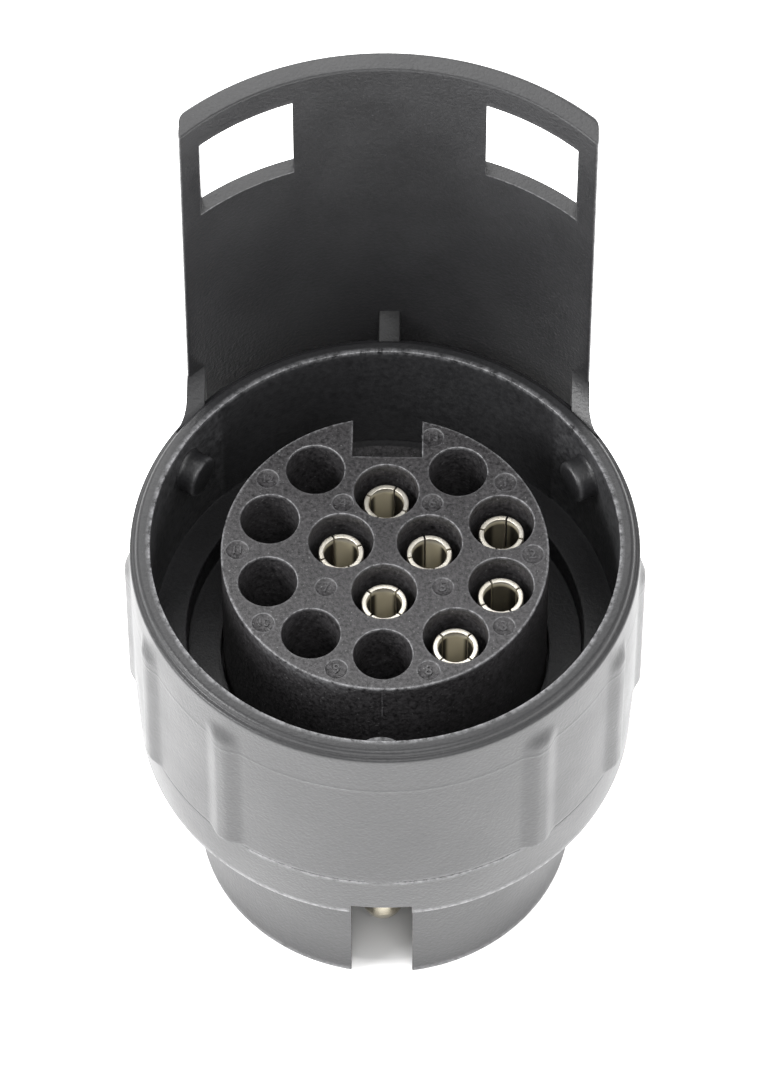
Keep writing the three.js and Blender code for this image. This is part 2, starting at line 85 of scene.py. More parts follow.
def roundedOutline(corners, spacing=0.5, closed=True, arcStep=15):
    # an outline through corners (x, y, radius): each corner becomes an arc tangent to both sides,
    # and straight stretches are cut into steps of about the spacing
    c = np.array(corners, float)
    count = len(c)
    points = []
    for i in range(count):
        here, radius = c[i, :2], c[i, 2]
        if radius <= 0 or (not closed and i in (0, count - 1)):
            points.append(here[None])
            continue
        toPrev, toNext = c[i - 1, :2] - here, c[(i + 1) % count, :2] - here
        lengthPrev, lengthNext = np.linalg.norm(toPrev), np.linalg.norm(toNext)
        toPrev, toNext = toPrev / lengthPrev, toNext / lengthNext
        half = math.acos(np.clip(toPrev @ toNext, -1, 1)) / 2
        if half > 1.565:
            points.append(here[None])
            continue
        reach = min(radius / math.tan(half), 0.7 * lengthPrev, 0.7 * lengthNext)
        radius = reach * math.tan(half)
        middle = here + (toPrev + toNext) / np.linalg.norm(toPrev + toNext) * radius / math.sin(half)
        start, end = here + toPrev * reach - middle, here + toNext * reach - middle
        a0, a1 = math.atan2(start[1], start[0]), math.atan2(end[1], end[0])
        turn = (a1 - a0 + math.pi) % (2 * math.pi) - math.pi
        steps = max(2, round(abs(math.degrees(turn)) / arcStep))
        a = a0 + turn * np.linspace(0, 1, steps + 1)
        points.append(middle + radius * np.stack([np.cos(a), np.sin(a)], -1))
    path = np.concatenate(points)
    after = np.roll(path, -1, 0) if closed else path[1:]
    filled = []
    for p, q in zip(path, after):
        steps = max(1, round(np.linalg.norm(q - p) / spacing))
        filled.append(p + (q - p) * (np.arange(steps) / steps)[:, None])
    if not closed:
        filled.append(path[-1:])
    line = np.concatenate(filled)
    keep = np.linalg.norm(line - np.roll(line, 1, 0), axis=1) > 1e-6
    return line[keep]


def convexEdge(outline, reach=0.35):
    # 1 where a counter-clockwise outline turns outwards sharply, fading over the reach
    before, after = outline - np.roll(outline, 1, 0), np.roll(outline, -1, 0) - outline
    turn = before[:, 0] * after[:, 1] - before[:, 1] * after[:, 0]
    bend = turn / (np.linalg.norm(before, axis=1) * np.linalg.norm(after, axis=1))
    sharp = outline[bend > 0.12]
    if not len(sharp):
        return np.zeros(len(outline))
    gap = np.linalg.norm(outline[:, None] - sharp[None], axis=2).min(1)
    return np.exp(-(gap / reach) ** 2)


def carried(outline, azimuths):
    # an outline of radius and height turned round the Z axis: azimuth 0 is -Y, 90 degrees is +X
    a, r, z = azimuths[:, None], outline[None, :, 0], outline[None, :, 1]
    return np.stack([r * np.sin(a), -r * np.cos(a), z + 0 * a], -1)


def onCircle(radius, azimuth):
    a = math.radians(azimuth)
    return np.array([radius * math.sin(a), -radius * math.cos(a)])


def joined(parts):
    # several (points, faces, wear and painted light) sets as one
    points, faces, wearAndPaintedLight, start = [], [], [], 0
    for p, f, w in parts:
        p = p.reshape(-1, 3)
        points.append(p)
        faces += [[v + start for v in face] for face in (f.tolist() if isinstance(f, np.ndarray) else f)]
        wearAndPaintedLight.append(np.broadcast_to(np.asarray(w, float).reshape(-1), len(p)) if np.size(w) in (1, len(p))
                    else np.resize(w, len(p)))
        start += len(p)
    return np.concatenate(points), faces, np.concatenate(wearAndPaintedLight)


def makePiece(name, parts, material, nodes=(), sharp=38):
    # a mesh object from its parts, in metres, with its attribute of wear and painted light, riding on the
    # fixed body
    points, faces, wearAndPaintedLight = joined(parts)
    mesh = bpy.data.meshes.new(name)
    mesh.from_pydata((points * mm).tolist(), [], faces)
    mesh.attributes.new("wearAndPaintedLight", "FLOAT", "POINT").data.foreach_set("value", wearAndPaintedLight.astype(np.float32))
    mesh.polygons.foreach_set("use_smooth", np.ones(len(mesh.polygons), bool))
    mesh.set_sharp_from_angle(angle=math.radians(sharp))
    mesh.materials.append(material)
    piece = bpy.data.objects.new(name, mesh)
    bpy.context.scene.collection.objects.link(piece)
    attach(piece, "root")
    if nodes:
        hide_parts(*nodes)
    return piece


# materials

def newMaterial(name):
    material = bpy.data.materials.new(name)
    material.use_nodes = True
    tree = material.node_tree
    return material, tree, tree.nodes["Principled BSDF"]


def addNode(tree, kind, **settings):
    node = tree.nodes.new(kind)
    for key, value in settings.items():
        if key in node.inputs:
            node.inputs[key].default_value = value
        else:
            setattr(node, key, value)
    return node


def noise(tree, source, scale, detail=3.0, rough=0.6, stretch=None):
    node = addNode(tree, "ShaderNodeTexNoise", Scale=scale, Detail=detail, Roughness=rough)
    if stretch:
        mapping = addNode(tree, "ShaderNodeMapping", Scale=stretch)
        tree.links.new(source, mapping.inputs["Vector"])
        source = mapping.outputs["Vector"]
    tree.links.new(source, node.inputs["Vector"])
    return node.outputs["Fac"]


def ramp(tree, value, low, high, start=0.0, end=1.0):
    # value between low and high spread over start to end
    node = addNode(tree, "ShaderNodeMapRange")
    node.inputs["From Min"].default_value = low
    node.inputs["From Max"].default_value = high
    node.inputs["To Min"].default_value = start
    node.inputs["To Max"].default_value = end
    tree.links.new(value, node.inputs["Value"])
    return node.outputs["Result"]


def math2(tree, operation, a, b):
    node = addNode(tree, "ShaderNodeMath", operation=operation)
    for socket, value in zip(node.inputs, (a, b)):
        if isinstance(value, (int, float)):
            socket.default_value = value
        else:
            tree.links.new(value, socket)
    return node.outputs[0]


def mixColor(tree, factor, a, b):
    node = addNode(tree, "ShaderNodeMix", data_type="RGBA")
    tree.links.new(factor, node.inputs[0])
    for socket, value in ((node.inputs[6], a), (node.inputs[7], b)):
        if isinstance(value, tuple):
            socket.default_value = (*value, 1)
        else:
            tree.links.new(value, socket)
    return node.outputs[2]


def bump(tree, height, strength, distance, under=None):
    node = addNode(tree, "ShaderNodeBump", Strength=strength, Distance=distance)
    tree.links.new(height, node.inputs["Height"])
    if under:
        tree.links.new(under, node.inputs["Normal"])
    return node.outputs["Normal"]


def mouldedPlastic(name, dark, pale, speck, roughness, grain=0.5, streaks=0.0, edge=0.6, specks=0.7,
                   mottling=0.5):
    # fine eroded grain, cloudy and mottled tone, tiny pale specks, and paler marks where the attribute is
    # high: scuffed edges, and also painted highlights and painted light
    material, tree, shader = newMaterial(name)
    place = addNode(tree, "ShaderNodeTexCoord").outputs["Object"]
    cloud = noise(tree, place, 90, 4)
    fine = noise(tree, place, 2600, 2)
    speckle = noise(tree, place, 3800, 1, 0.4)
    mottle = math2(tree, "ADD", math2(tree, "MULTIPLY", cloud, 1 - mottling),
                   math2(tree, "MULTIPLY", noise(tree, place, 2300, 4, 0.75), mottling))
    tone = mixColor(tree, ramp(tree, mottle, 0.36, 0.64), dark, pale)
    spots = ramp(tree, speckle, specks, specks + 0.1, 0, 0.8)
    tone = mixColor(tree, spots, tone, speck)
    wearAndPaintedLight = addNode(tree, "ShaderNodeAttribute", attribute_name="wearAndPaintedLight").outputs["Fac"]
    broken = ramp(tree, noise(tree, place, 1400, 4, 0.7), 0.35, 0.65)
    # the pale grey mix shows scuffs and also painted highlights and painted light
    paleMarks = math2(tree, "MULTIPLY", math2(tree, "MULTIPLY", wearAndPaintedLight, broken), edge)
    tone = mixColor(tree, paleMarks, tone, (0.30, 0.30, 0.31))
    tree.links.new(tone, shader.inputs["Base Color"])
    rough = ramp(tree, cloud, 0.3, 0.7, roughness - 0.05, roughness + 0.05)
    tree.links.new(rough, shader.inputs["Roughness"])
    normal = bump(tree, fine, grain, 0.00006)
    if streaks:
        drawn = noise(tree, place, 900, 3, 0.6, (1, 1, 0.03))
        normal = bump(tree, drawn, streaks, 0.00006, normal)
    tree.links.new(normal, shader.inputs["Normal"])
    shader.inputs["IOR"].default_value = 1.53
    return material


def drawnMetal(name, color, tarnish, roughness, lines):
    # drawn or turned metal: fine lines along or round the piece, patchy tarnish; where the attribute is one
    # half it is painted with a dull khaki reflection, and towards 1 with dark painted shade
    material, tree, shader = newMaterial(name)
    place = addNode(tree, "ShaderNodeTexCoord").outputs["Object"]
    patch = noise(tree, place, 420, 3)
    tone = mixColor(tree, ramp(tree, patch, 0.35, 0.75), color, tarnish)
    boreShadeAndSheen = addNode(tree, "ShaderNodeAttribute", attribute_name="wearAndPaintedLight").outputs["Fac"]
    # painted reflection in khaki and painted shade in near black, both from the attribute
    tone = mixColor(tree, ramp(tree, boreShadeAndSheen, 0, 0.5), tone, (0.50, 0.45, 0.32))
    tone = mixColor(tree, ramp(tree, boreShadeAndSheen, 0.5, 1), tone, (0.022, 0.019, 0.014))
    tree.links.new(tone, shader.inputs["Base Color"])
    grooves = noise(tree, place, 2600, 2, 0.5, lines)
    rough = ramp(tree, grooves, 0.3, 0.7, roughness - 0.05, roughness + 0.07)
    tree.links.new(rough, shader.inputs["Roughness"])
    tree.links.new(bump(tree, grooves, 0.15, 0.00003), shader.inputs["Normal"])
    tree.links.new(ramp(tree, boreShadeAndSheen, 0, 0.5, 1, 0), shader.inputs["Metallic"])
    return material


def softPlastic(name, color, roughness):
    # wire insulation and rubber: slightly uneven colour and a soft skin
    material, tree, shader = newMaterial(name)
    place = addNode(tree, "ShaderNodeTexCoord").outputs["Object"]
    mottled = noise(tree, place, 700, 3)
    darker = tuple(0.7 * c for c in color)
    tree.links.new(mixColor(tree, ramp(tree, mottled, 0.3, 0.7), darker, color), shader.inputs["Base Color"])
    tree.links.new(bump(tree, mottled, 0.2, 0.00005), shader.inputs["Normal"])
    shader.inputs["Roughness"].default_value = roughness
    return material


housingPlastic = mouldedPlastic("housingPlastic", (0.0125, 0.0125, 0.0135), (0.023, 0.023, 0.0245),
                                (0.09, 0.09, 0.095), 0.40, 0.8, streaks=0.05, edge=0.6, specks=0.76,
                                mottling=0.7)
# the middle web alone gets a darker, duller plastic than the rest of its moulding: its darker colour is
# painted shade
paintedShadeWebPlastic = mouldedPlastic("paintedShadeWebPlastic", (0.003, 0.003, 0.0035), (0.006, 0.006, 0.0065),
                               (0.05, 0.05, 0.05), 0.6, 0.8, specks=0.76, mottling=0.7)
insertPlastic = mouldedPlastic("insertPlastic", (0.0025, 0.0022, 0.0025), (0.066, 0.063, 0.066),
                               (0.17, 0.17, 0.17), 0.46, 1.0, edge=0.9, specks=0.68, mottling=0.85)
retainerPlastic = mouldedPlastic("retainerPlastic", (0.05, 0.05, 0.053), (0.07, 0.07, 0.072),
                                 (0.12, 0.12, 0.12), 0.55)
sealRubber = softPlastic("sealRubber", (0.015, 0.015, 0.015), 0.75)
contactBrass = drawnMetal("contactBrass", (0.88, 0.84, 0.75), (0.80, 0.75, 0.64), 0.42, (0.35, 0.35, 0.012))
pinBrass = drawnMetal("pinBrass", (0.74, 0.69, 0.57), (0.56, 0.50, 0.38), 0.22, (0.1, 0.1, 1))
screwSteel = drawnMetal("screwSteel", (0.60, 0.61, 0.62), (0.42, 0.43, 0.44), 0.3, (0.3, 0.3, 1))
print("materials made")


# collar

collar = dict(
    rim=1.8, inner=25.7, outer=27.98, lipOuter=27.4, lipRound=0.95, wallTop=1.15, mouldLine=-4.95,
    bore=22.0, shelf=18.25, ledge=-15.2, floor=-18.5, shelfLow=-20.5, seam=-23.6,
    ribAzimuths=(-90, -66, -38, 38, 66, 90), ribHalf=2.6, ribHeight=0.7, ribTop=-1.5, ribSlope=2.3,
    padHeight=0.15, padFrom=133.6, padTop=1.5, tabHalf=1.7, tabDrop=0.4, turns=600,
    flash=((-24, 8, -4, 3), (0.5, 2, 6, 3)), paintedInnerLight=0.3, paintedRearInnerLight=0.1,
)


def collarWall():
    # the wall's outline turned round the axis; ribs, rear pad and front tab move its points in or out:
    # rib = height x soft step across its width x slope under the lip. The attribute is high on the inner edge,
    # as worn flash with a painted edge highlight, lower on the seam and on the two stretches of flash along
    # the mould line, and low over the inside, where it is painted light that lifts the inner walls, less at
    # the rear
    c = collar
    corners = [
        (c["bore"], c["seam"], 0), (c["outer"], c["seam"], 0.1), (c["outer"], c["mouldLine"] - 0.08, 0),
        (c["outer"] + 0.015, c["mouldLine"], 0), (c["outer"], c["mouldLine"] + 0.08, 0),
        (c["outer"], c["wallTop"], 0.4), (c["lipOuter"], c["wallTop"] - 0.05, 0.25),
        (c["lipOuter"] - 0.1, c["rim"], c["lipRound"]), (c["inner"], c["rim"], 0.1),
        (c["inner"], c["ledge"], 0.15), (c["bore"], c["ledge"], 0.25), (c["bore"], c["floor"], 0.2),
        (c["shelf"], c["floor"], 0.15), (c["shelf"], c["shelfLow"], 0), (c["bore"], c["shelfLow"], 0),
    ]
    outline = roundedOutline(corners, 0.45)
    azimuths = np.linspace(-math.pi, math.pi, c["turns"], endpoint=False)
    r, z = outline[:, 0][None], outline[:, 1][None]
    a = azimuths[:, None]
    away = c["outer"] * np.abs((a - np.radians(c["ribAzimuths"])[:, None, None] + np.pi) % (2 * np.pi) - np.pi)
    across = smoothStep((c["ribHalf"] - away) / 2.3).max(0)
    under = smoothStep((c["ribTop"] - z) / c["ribSlope"])
    outside = r > c["outer"] - 0.5
    rib = c["ribHeight"] * across * under * outside
    inWall = (np.abs(r - c["inner"]) < 0.2) & (z > c["ledge"] + 0.1)
    rear = smoothStep((np.degrees(np.abs(a)) - c["padFrom"]) / 0.6)
    pad = c["padHeight"] * rear * smoothStep((c["padTop"] - z) / 0.5) * inWall
    tab = smoothStep((c["tabHalf"] - np.abs(a) * c["outer"]) / 0.3)
    low = (z < c["seam"] + 0.5) & outside
    radius = r + rib - pad + 0.02 * tab * low
    square = np.where(low & (r < c["outer"]), c["outer"] - r, 0) * tab
    height = z - (c["tabDrop"] + 0 * a) * tab * smoothStep((c["seam"] + 0.45 - z) / 0.45) * outside
    radius = radius + square
    points = np.stack([radius * np.sin(a), -radius * np.cos(a), height + 0 * a], -1)
    # the inner rim edge is painted pale: worn flash together with a painted edge highlight
    innerEdgeWearAndHighlight = 1.6 * np.exp(-(np.hypot(r - c["inner"], z - c["rim"]) / 0.15) ** 2)
    seamEdge = 0.35 * np.exp(-(np.hypot(r - c["outer"], z - c["seam"]) / 0.2) ** 2)
    degrees = np.degrees(a)
    flash = np.zeros_like(degrees)
    for start, rise, end, fall in c["flash"]:
        flash = np.maximum(flash, smoothStep((degrees - start) / rise) * smoothStep((end - degrees) / fall))
    mould = 0.55 * flash * (np.abs(z - c["mouldLine"]) < 0.02) * outside
    # painted light: the inner walls above the ledge are painted paler, less at the rear
    paintedInnerLight = (c["paintedInnerLight"] + (c["paintedRearInnerLight"] - c["paintedInnerLight"]) * rear) * inWall
    wearAndPaintedLight = innerEdgeWearAndHighlight + seamEdge + mould + paintedInnerLight
    return points, quads(*points.shape[:2], True, True), wearAndPaintedLight.ravel()


lug = dict(azimuths=(0, 120, -120), radius=2.4, height=2.3, drop=5.0, fillet=0.5, dome=0.4)


def bayonetLugs():
    # a stud's outline of radius and height, turned round a line that points at the axis
    parts = []
    base = collar["inner"] + 0.3
    corners = [(lug["radius"] + lug["fillet"], 0.25, 0), (lug["radius"], 0.45, lug["fillet"]),
               (lug["radius"], lug["height"] + 0.3, lug["dome"]), (0.02, lug["height"] + 0.3, 0)]
    outline = roundedOutline(corners, 0.3, closed=False)
    around = np.linspace(0, 2 * math.pi, 64, endpoint=False)[:, None]
    for azimuth in lug["azimuths"]:
        a = math.radians(azimuth)
        out = np.array([math.sin(a), -math.cos(a), 0])
        side = np.array([math.cos(a), math.sin(a), 0])
        up = np.array([0, 0, 1])
        r, h = outline[None, :, 0, None], outline[None, :, 1, None]
        lift = (r * np.cos(around[..., None]) * side) + (r * np.sin(around[..., None]) * up)
        centre = out * base + up * (collar["rim"] - lug["drop"])
        points = centre + lift - out * h
        fromEdge = np.hypot(outline[:, 0] - lug["radius"], outline[:, 1] - lug["height"] - 0.2)
        edge = np.exp(-(fromEdge / 0.35) ** 2)
        paleMarks = 1.2 * edge + 0.3 * (outline[:, 1] > 1) if azimuth == 0 else 0.35 * edge
        wearAndPaintedLight = np.broadcast_to(paleMarks, points.shape[:2])
        parts.append((points, quads(64, len(outline), True)[:, ::-1], wearAndPaintedLight.ravel()))
    return parts


guard = dict(inner=30.2, wall=1.8, half=22.3, top=47.0, low=-15.2, beadWall=2.7, bead=2.7, topRound=0.8,
             sideRound=0.5, burr=0.14,
             window=(10.4, 20.2), windowLow=31.1, windowTop=43.3)


def plateShell(front, back, keep, wearAndPaintedLight):
    # two grids of points face each other; kept cells are closed by a strip along every free edge, with an
    # extra row close behind the front so that the wear stays on the front edge
    rows, columns = keep.shape[0] + 1, keep.shape[1] + 1
    a, b = np.meshgrid(np.arange(rows - 1), np.arange(columns - 1), indexing="ij")
    first, below = a * columns + b, (a + 1) * columns + b
    corner = np.stack([first, below, below + 1, first + 1], -1)
    padded = np.pad(keep, 1)
    edges = []
    for shiftRow, shiftColumn, one, other in ((-1, 0, 3, 0), (1, 0, 1, 2), (0, -1, 0, 1), (0, 1, 2, 3)):
        beside = padded[1 + shiftRow:rows + shiftRow, 1 + shiftColumn:columns + shiftColumn]
        edges.append(corner[keep & ~beside][:, [one, other]])
    edge = np.concatenate(edges)
    used, edgeAt = np.unique(edge, return_inverse=True)
    middle = 2 * rows * columns + edgeAt.reshape(-1, 2)
    back_, front_ = edge + rows * columns, edge
    strips = [np.stack([front_[:, 1], front_[:, 0], middle[:, 0], middle[:, 1]], -1),
              np.stack([middle[:, 1], middle[:, 0], back_[:, 0], back_[:, 1]], -1)]
    flatFront, flatBack = front.reshape(-1, 3), back.reshape(-1, 3)
    points = np.concatenate([flatFront, flatBack, 0.93 * flatFront[used] + 0.07 * flatBack[used]])
    faces = np.concatenate([corner[keep], corner[keep][:, ::-1] + rows * columns, *strips])
    return points, faces, np.concatenate([wearAndPaintedLight.ravel(), 0 * wearAndPaintedLight.ravel(), 0 * used])


def spread(stops, spacing):
    # stops with evenly spaced values between them
    parts = [np.linspace(p, q, max(2, round((q - p) / spacing) + 1))[:-1] for p, q in zip(stops, stops[1:])]
    return np.concatenate(parts + [np.array(stops[-1:])])


def guardPlate():
    # y = sqrt(radius^2 - x^2) over a grid of x and z, once for each face; the radius follows a quarter
    # circle near the top and near both sides, and the windows are cells left out
    g = guard
    near, far = g["window"]
    rim, burr, side = g["topRound"], g["burr"], g["sideRound"]
    flat = g["half"] - side
    bend = flat + side * np.sin(np.radians((22.5, 45, 67.5, 90)))
    x = spread([-flat, -far - burr, -far, -near, -near + burr, near - burr, near, far, far + burr, flat], 0.7)
    x = np.concatenate([-bend[::-1], x, bend])
    roundTop = g["top"] - rim
    arc = roundTop + rim * np.sin(np.radians(np.arange(0, 91, 11.25)))
    levels = [g["low"], g["windowLow"] - burr, g["windowLow"], g["windowTop"], roundTop]
    z = np.concatenate([spread(levels, 0.8)[:-1], arc])
    closing = 1 - np.sqrt(np.clip(1 - ((z - roundTop) / rim).clip(0, 1) ** 2, 0, 1))
    thick = g["wall"] + (g["beadWall"] - g["wall"]) * smoothStep((z - g["top"] + g["bead"] + 0.9) / 1.0)
    grid = x[:, None]
    turned = side * (1 - np.sqrt(np.clip(1 - ((np.abs(grid) - flat) / side).clip(0, 1) ** 2, 0, 1)))
    outer = g["inner"] + thick - rim * closing - turned
    inner = g["inner"] + 0.2 * closing ** 4 + turned
    front = np.stack([grid + 0 * z, np.sqrt(inner ** 2 - grid ** 2), z + 0 * grid], -1)
    back = np.stack([grid + 0 * z, np.sqrt(outer ** 2 - grid ** 2), z + 0 * grid], -1)
    midX, midZ = (x[1:] + x[:-1]) / 2, (z[1:] + z[:-1]) / 2
    hole = ((np.abs(midX) > near) & (np.abs(midX) < far))[:, None] \
        & ((midZ > g["windowLow"]) & (midZ < g["windowTop"]))[None]
    fromSide = g["half"] - np.abs(grid)
    gapX = np.maximum(np.maximum(near - np.abs(grid), np.abs(grid) - far), 0)
    gapZ = np.maximum(np.maximum(g["windowLow"] - z, z - g["windowTop"]), 0)[None]
    fromWindow = np.hypot(gapX, gapZ)
    lower = (np.abs(z - g["windowLow"]) < 0.05)[None] & (gapX < 0.05)
    wearAndPaintedLight = 1.0 * lower + 0.25 * (fromWindow < 0.05) * ~lower + 0.5 * (fromSide < 0.2) + 0 * z
    return plateShell(front, back, ~hole, wearAndPaintedLight)


web = dict(middle=2.4, side=2.0, rise=1.7, fillet=6.0)


def guardWeb(x, width):
    # a flat web between collar and plate; it starts inside the collar's wall on both of its sides, its top
    # climbs from the rim to the plate, and an outer side follows a circle that touches both it and the collar
    t = np.linspace(0, 1, 24)[None]
    sides = []
    for edge in (x - width / 2, x + width / 2):
        start = math.sqrt((collar["outer"] - 1.2) ** 2 - edge ** 2)
        end = math.sqrt((guard["inner"] + 0.8) ** 2 - edge ** 2)
        y = np.linspace(start, end, 9)
        top = collar["rim"] - 0.5 + (web["rise"] + 0.5) * smoothStep((y - start) / (end - start)) ** 0.8
        z = guard["low"] + (top[:, None] - guard["low"]) * t
        flare = np.zeros(9)
        if abs(edge) > guard["half"] - 0.01:
            f, reach = web["fillet"], collar["outer"] - 0.3
            centre = math.sqrt((reach + f) ** 2 - (guard["half"] + f) ** 2)
            flare = f - np.sqrt(f * f - (centre - y).clip(0, f) ** 2)
        across = edge + math.copysign(1, edge) * flare[:, None] + 0 * z
        sides.append(np.stack([across, y[:, None] + 0 * t, z], -1))
    keep = np.ones((8, 23), bool)
    return plateShell(sides[1], sides[0], keep, 0 * sides[0][..., 0])


def bevelled(piece, width, segments=2, angle=50):
    bevel = piece.modifiers.new("edges", "BEVEL")
    bevel.width = width * mm
    bevel.segments = segments
    bevel.limit_method = "ANGLE"
    bevel.angle_limit = math.radians(angle)
    return piece


makePiece("collar_wall", [collarWall()], housingPlastic, ["collar_shell"])
makePiece("bayonet_lugs", bayonetLugs(), housingPlastic, ["collar_shell"])
makePiece("guard_plate", [guardPlate()], housingPlastic, ["collar_shell"])
sideWeb = guard["half"] - web["side"] / 2
# the middle web wears the plastic with painted shade
bevelled(makePiece("middle_web", [guardWeb(0, web["middle"])], paintedShadeWebPlastic,
                   ["collar_shell"]), 0.2)
bevelled(makePiece("side_webs", [guardWeb(-sideWeb, web["side"]), guardWeb(sideWeb, web["side"])],
                   housingPlastic, ["collar_shell"]), 0.2)
print("collar and guard plate made")


# plug body

plug = dict(bandTaper=0.3, bandRound=0.35, seamGap=0.09, shoulder=-31.0, sleeve=21.3, sleeveWall=2.0,
            end=-54.4, chamber=19.3, lipInner=17.6, seat=-33.4, face=-35.0, spigot=-23.1, spigotOuter=21.75,
            keyHalf=3.45, keyTop=-29.3, keyCorner=0.7, backing=1.0, turns=360)


def applied(piece):
    # the piece's modifiers become its mesh
    graph = bpy.context.evaluated_depsgraph_get()
    mesh = bpy.data.meshes.new_from_object(piece.evaluated_get(graph))
    old = piece.data
    piece.modifiers.clear()
    piece.data = mesh
    bpy.data.meshes.remove(old)
    return piece


def prismPart(outline, low, high, axis=1):
    # a flat outline pulled along one axis, closed at both ends
    n = len(outline)
    ends = [np.insert(outline, axis, level, axis=1) for level in (low, high)]
    points = np.concatenate(ends)
    faces = [[i, (i + 1) % n, (i + 1) % n + n, i + n] for i in range(n)]
    faces += [list(range(n))[::-1], [i + n for i in range(n)]]
    x, y = outline[:, 0], outline[:, 1]
    turning = np.sum(x * np.roll(y, -1) - y * np.roll(x, -1)) * (-1 if axis == 1 else 1)
    if turning < 0:
        faces = [face[::-1] for face in faces]
    return points, faces, 0.0


def cutAway(piece, parts):
    # takes closed shapes out of a piece
    points, faces, wearAndPaintedLight = joined(parts)
    mesh = bpy.data.meshes.new("cutter")
    mesh.from_pydata((points * mm).tolist(), [], faces)
    tool = bpy.data.objects.new("cutter", mesh)
    bpy.context.scene.collection.objects.link(tool)
    mod = piece.modifiers.new("cut", "BOOLEAN")
    mod.operation, mod.solver, mod.object = "DIFFERENCE", "EXACT", tool
    bpy.context.view_layer.update()
    applied(piece)
    bpy.data.objects.remove(tool)
    bpy.data.meshes.remove(mesh)
    piece.data.polygons.foreach_set("use_smooth", np.ones(len(piece.data.polygons), bool))
    piece.data.set_sharp_from_angle(angle=math.radians(38))
    return piece


def plugShell():
    # band, shoulder, sleeve, floor lip and wire chamber in one outline turned round the axis
    p = plug
    low = collar["outer"] - p["bandTaper"]
    inner = p["sleeve"] - p["sleeveWall"]
    corners = [
        (p["chamber"], p["spigot"], 0), (p["chamber"], p["seat"], 0), (p["lipInner"], p["seat"], 0),
        (p["lipInner"], p["face"], 0.2), (inner, p["face"], 0.3), (inner, p["end"], 0.3),
        (p["sleeve"], p["end"], 0.55), (p["sleeve"], p["shoulder"], 0.4), (low, p["shoulder"], p["bandRound"]),
        (collar["outer"] - 0.03, collar["seam"] - p["seamGap"], 0.08),
        (p["spigotOuter"], collar["seam"] - p["seamGap"], 0),
        (p["spigotOuter"], p["spigot"], 0.2),
    ]
    outline = roundedOutline(corners, 0.7)
    azimuths = np.linspace(-math.pi, math.pi, p["turns"], endpoint=False)
    points = carried(outline, azimuths)
    # painted highlight: convex edges of band and sleeve are painted pale, the band's top edge only at the
    # front
    front = np.where(outline[None, :, 1] > -25, smoothStep((0.75 - np.abs(azimuths[:, None])) / 0.3), 1)
    wearAndPaintedLight = convexEdge(outline, 0.16) * (outline[:, 0] > 20) * front
    return points, quads(*points.shape[:2], True, True), wearAndPaintedLight.ravel()


def keywayTools():
    # the keyway's outline in x and z with its mouth flared round, pulled along y
    p = plug
    k, end, flare = p["keyHalf"], p["end"], p["keyCorner"]
    t = np.radians(np.linspace(0, 90, 7))
    rightMouth = np.stack([k + flare - flare * np.cos(t), end + flare - flare * np.sin(t)], -1)
    mouth = np.concatenate([rightMouth[::-1], [[k, p["face"]]]])
    mouth[0, 1] = end - 1
    outline = np.concatenate([[[k + flare, end - 1]], mouth[1:], [[-k, p["face"]]],
                              (mouth[1:-1] * [-1, 1])[::-1], [[-k - flare, end - 1]]])
    through = math.sqrt((p["sleeve"] - p["sleeveWall"]) ** 2 - k ** 2) - 0.2
    lower = prismPart(outline, -30.0, -through)
    upper = prismPart(roundedOutline([(-k, p["face"] - 1, 0), (k, p["face"] - 1, 0), (k, p["keyTop"], 0.3),
                                      (-k, p["keyTop"], 0.3)], 3), -30.0, -p["chamber"] - p["backing"])
    return lower, upper


screw = dict(azimuths=(45, 135, -135, -45), circle=24.4, hole=2.35, recess=2.0)


def screwHoles():
    tools = []
    for azimuth in screw["azimuths"]:
        x, y = onCircle(screw["circle"], azimuth)
        a = np.radians(np.arange(0, 360, 9))
        ring = np.stack([x + screw["hole"] * np.cos(a), y + screw["hole"] * np.sin(a)], -1)
        tools.append(prismPart(ring, plug["shoulder"] - 1, plug["shoulder"] + screw["recess"], axis=2))
    return tools


plugPiece = makePiece("plug_shell", [plugShell()], housingPlastic, ["plug_body"])
for tool in (*keywayTools(), *screwHoles()):
    cutAway(plugPiece, [tool])
print("plug body made")


# socket insert

insert = dict(radius=18.0, base=-22.0, chamfer=0.12, notchHalf=3.85, notchBack=12.75, notchFloor=-5.5,
              fitted=3.57, empty=3.22, holeFloor=-17.0, circle=13.4, pitch=36,
              holeChamfer=0.1, markerChamfer=0.07, lattice=0.32, paintedHighlightTurn=math.radians(70),
              marker=1.18, innerMarker=1.14, markerDepth=0.14, markerCircle=16.2)
contactAt = {5: (0, -5.2), 6: (4.85, 1.4), 7: (-4.85, 1.4), 4: (0, 8.05)}
outerPitch = {8: 0, 9: -1, 10: -2, 11: -3, 12: -4, 13: 4, 1: 3, 2: 2, 3: 1}
markerAt = {4: (-4.75, 6.45), 7: (-6.35, -4.75), 5: (6.4, -4.5), 6: (5.1, 6.6)}
for number, pitches in outerPitch.items():
    contactAt[number] = tuple(onCircle(insert["circle"], pitches * insert["pitch"]))
    markerAt[number] = tuple(onCircle(insert["markerCircle"], (pitches + 0.5) * insert["pitch"]))
fittedNumbers = range(1, 8)


def circleRing(x, y, radius, count):
    a = 2 * math.pi * np.arange(count) / count
    return np.stack([x + radius * np.cos(a), y + radius * np.sin(a)], -1)


